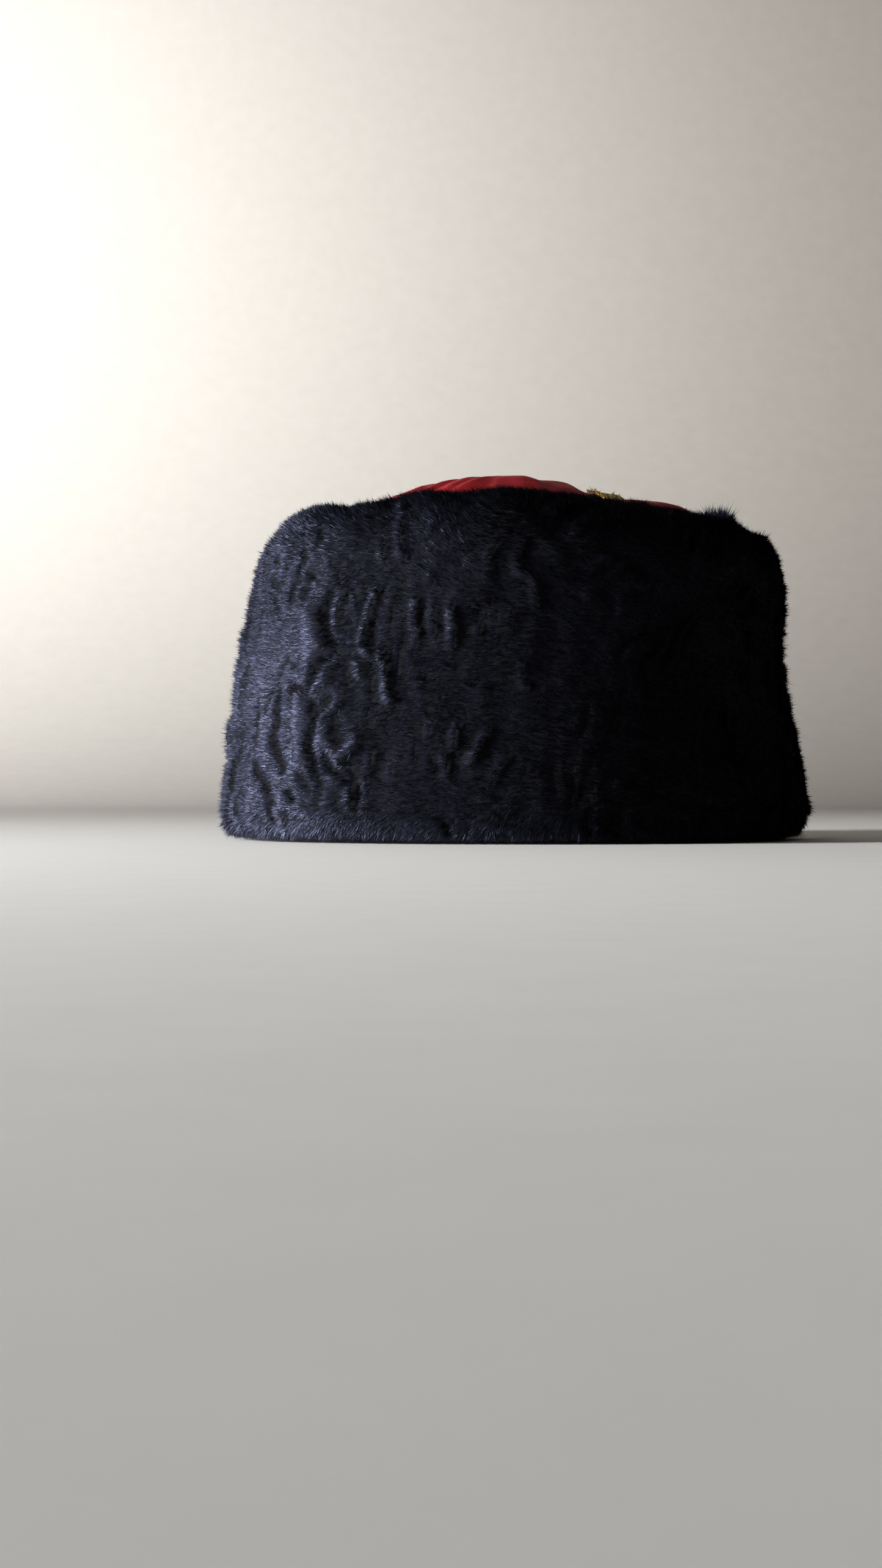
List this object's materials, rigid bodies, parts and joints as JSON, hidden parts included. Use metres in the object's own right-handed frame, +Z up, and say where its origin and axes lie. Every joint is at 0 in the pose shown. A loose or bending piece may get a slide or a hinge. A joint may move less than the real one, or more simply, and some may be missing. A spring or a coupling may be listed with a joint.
{
  "type": "cossack hat",
  "caption": "Low oval winter hat with a round-shouldered black fur band, a puffed red satin crown and a gold braid cross, hollow underneath for the head.",
  "frame": {"origin": "the middle of the hat's outline, on the plane that its rim rests on", "axes": "+Z up through the crown; the front of the hat faces -X and its back +X; the wearer's left side faces -Y"},
  "size_m": [0.235, 0.198, 0.1427],
  "materials": {
    "black_fur": "short dense black pile with a blue-grey sheen, pressed into wavy ridges",
    "red_satin": "glossy woven satin, puffed and creased",
    "gold_braid": "twisted metallic gimp thread, glittering, slightly frayed"
  },
  "bodies": {
    "root": {"fur_band": "black_fur", "fur_fold": "black_fur", "crown_top": "red_satin", "braid_front_back": "gold_braid", "braid_left_right": "gold_braid"}
  },
  "joints": []
}
